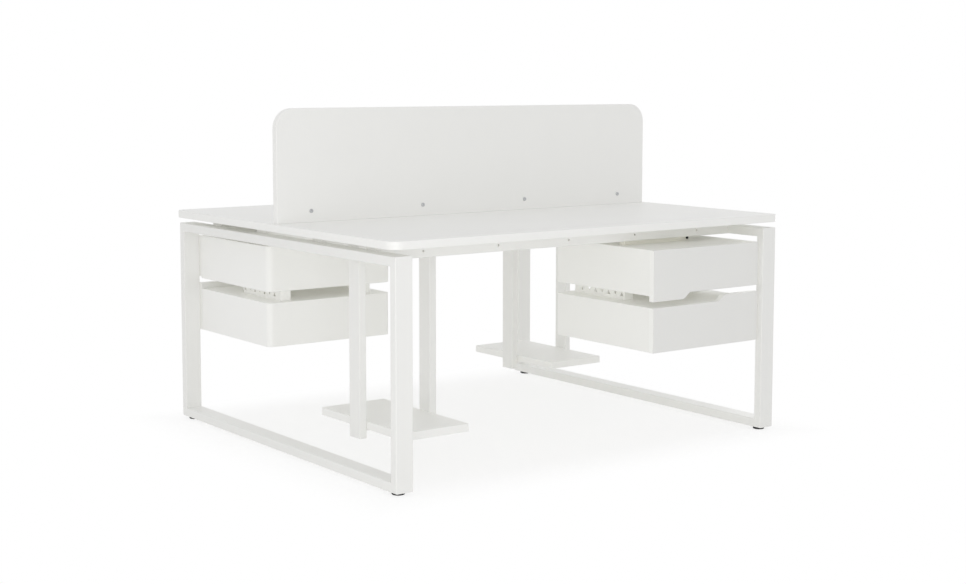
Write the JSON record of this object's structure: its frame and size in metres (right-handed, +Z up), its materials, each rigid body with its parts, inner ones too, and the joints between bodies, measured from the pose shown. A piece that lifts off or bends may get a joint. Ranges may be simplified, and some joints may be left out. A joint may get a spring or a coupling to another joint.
{
  "type": "benching desk",
  "caption": "White face-to-face bench desk for two with floating worktops on closed loop legs, a low divider screen, hanging drawers and computer shelves.",
  "frame": {"origin": "on the floor under the middle of the desk", "axes": "+X along the desk, -Y towards the near person, +Z up"},
  "size_m": [1.6, 1.4, 1.12],
  "materials": {
    "white_board": "matt white melamine board",
    "white_coat": "white powder coat",
    "zinc_steel": "bright zinc",
    "black_plastic": "moulded black"
  },
  "bodies": {
    "desk": {"near_worktop": "white_board", "far_worktop": "white_board", "leg_frame_left": "white_coat", "leg_frame_right": "white_coat", "near_beam_outer": "white_coat", "near_beam_inner": "white_coat", "far_beam_inner": "white_coat", "far_beam_outer": "white_coat", "screen_panel": "white_board", "screen_bracket_1": "white_coat", "screen_bracket_2": "white_coat", "screen_bracket_3": "white_coat", "screen_bracket_4": "white_coat", "screen_bolt_1": "zinc_steel", "screen_bolt_2": "zinc_steel", "screen_bolt_3": "zinc_steel", "screen_bolt_4": "zinc_steel", "near_upper_casing": "white_coat", "near_lower_casing": "white_coat", "near_link_channel_left": "white_coat", "near_link_channel_right": "white_coat", "near_upper_fixed_rail_left": "zinc_steel", "near_upper_fixed_rail_right": "zinc_steel", "near_lower_fixed_rail_left": "zinc_steel", "near_lower_fixed_rail_right": "zinc_steel", "near_holder_post_outer": "white_coat", "near_holder_post_inner": "white_coat", "near_holder_shelf": "white_board", "far_upper_casing": "white_coat", "far_lower_casing": "white_coat", "far_link_channel_left": "white_coat", "far_link_channel_right": "white_coat", "far_upper_fixed_rail_left": "zinc_steel", "far_upper_fixed_rail_right": "zinc_steel", "far_lower_fixed_rail_left": "zinc_steel", "far_lower_fixed_rail_right": "zinc_steel", "far_holder_post_outer": "white_coat", "far_holder_post_inner": "white_coat", "far_holder_shelf": "white_board"},
    "near_upper_drawer": {"near_upper_drawer_front": "white_board", "near_upper_drawer_tray": "white_coat", "near_upper_sliding_rail_left": "zinc_steel", "near_upper_sliding_rail_right": "zinc_steel"},
    "near_lower_drawer": {"near_lower_drawer_front": "white_board", "near_lower_drawer_tray": "white_coat", "near_lower_sliding_rail_left": "zinc_steel", "near_lower_sliding_rail_right": "zinc_steel"},
    "far_upper_drawer": {"far_upper_drawer_front": "white_board", "far_upper_drawer_tray": "white_coat", "far_upper_sliding_rail_left": "zinc_steel", "far_upper_sliding_rail_right": "zinc_steel"},
    "far_lower_drawer": {"far_lower_drawer_front": "white_board", "far_lower_drawer_tray": "white_coat", "far_lower_sliding_rail_left": "zinc_steel", "far_lower_sliding_rail_right": "zinc_steel"},
    "glide_near_left": {"glide_near_left": "black_plastic"},
    "glide_near_right": {"glide_near_right": "black_plastic"},
    "glide_far_left": {"glide_far_left": "black_plastic"},
    "glide_far_right": {"glide_far_right": "black_plastic"}
  },
  "joints": [
    {"name": "near_upper_drawer_slide", "type": "slide", "parent": "desk", "child": "near_upper_drawer", "axis": [0, -1, 0], "range_m": [0, 0.35]},
    {"name": "near_lower_drawer_slide", "type": "slide", "parent": "desk", "child": "near_lower_drawer", "axis": [0, -1, 0], "range_m": [0, 0.35]},
    {"name": "far_upper_drawer_slide", "type": "slide", "parent": "desk", "child": "far_upper_drawer", "axis": [0, 1, 0], "range_m": [0, 0.35]},
    {"name": "far_lower_drawer_slide", "type": "slide", "parent": "desk", "child": "far_lower_drawer", "axis": [0, 1, 0], "range_m": [0, 0.35]},
    {"name": "glide_near_left_turn", "type": "hinge", "parent": "desk", "child": "glide_near_left", "pos_m": [-0.755, -0.657, 0.005], "axis": [0, 0, 1], "continuous": true},
    {"name": "glide_near_right_turn", "type": "hinge", "parent": "desk", "child": "glide_near_right", "pos_m": [0.755, -0.657, 0.005], "axis": [0, 0, 1], "continuous": true},
    {"name": "glide_far_left_turn", "type": "hinge", "parent": "desk", "child": "glide_far_left", "pos_m": [-0.755, 0.657, 0.005], "axis": [0, 0, 1], "continuous": true},
    {"name": "glide_far_right_turn", "type": "hinge", "parent": "desk", "child": "glide_far_right", "pos_m": [0.755, 0.657, 0.005], "axis": [0, 0, 1], "continuous": true}
  ]
}
